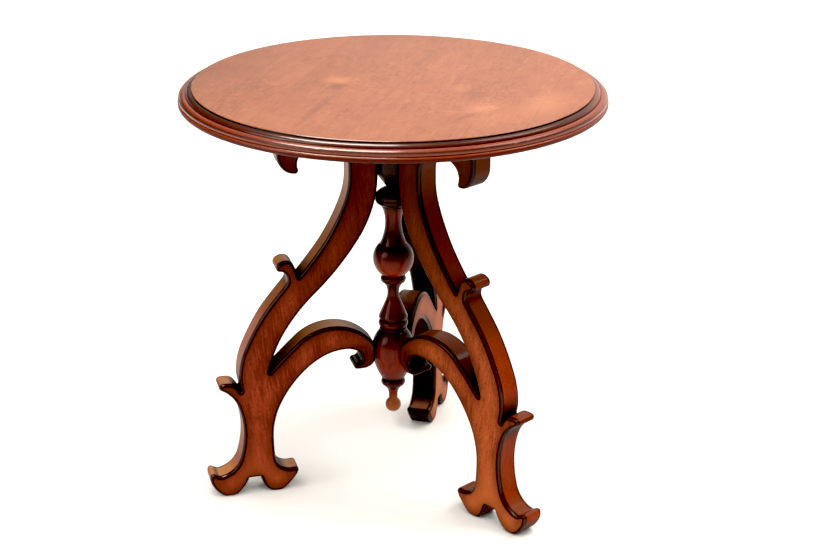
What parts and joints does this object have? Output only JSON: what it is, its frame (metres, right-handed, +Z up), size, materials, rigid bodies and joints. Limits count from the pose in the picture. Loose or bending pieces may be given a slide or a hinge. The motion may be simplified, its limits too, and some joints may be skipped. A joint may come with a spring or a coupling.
{
  "type": "lamp table",
  "caption": "Round lamp table with a moulded wooden top on scroll-cut legs around a turned column with a ball drop.",
  "frame": {"origin": "on the floor, under the axis of the column", "axes": "+Z up along the column; +Y along the back leg, which is the leg away from the camera; the other legs are 120 degrees either side"},
  "size_m": [0.6999, 0.7, 0.7095],
  "materials": {
    "top_wood": "satin lacquer over red-brown stain",
    "leg_wood": "satin lacquer, dark glaze in the mouldings",
    "turned_wood": "satin lacquer, dark glaze in the grooves",
    "dowel_wood": "bare",
    "screw_steel": "plain"
  },
  "bodies": {
    "root": {"top_board_1": "top_wood", "top_board_2": "top_wood", "top_board_3": "top_wood", "top_board_4": "top_wood", "top_board_5": "top_wood", "top_board_6": "top_wood", "top_board_7": "top_wood", "top_board_8": "top_wood", "board_dowels": "dowel_wood", "column": "turned_wood", "drop_finial": "turned_wood", "leg_left": "leg_wood", "leg_right": "leg_wood", "leg_back": "leg_wood", "upper_dowels": "dowel_wood", "scroll_dowels": "dowel_wood", "arm_screws": "screw_steel"}
  },
  "joints": []
}
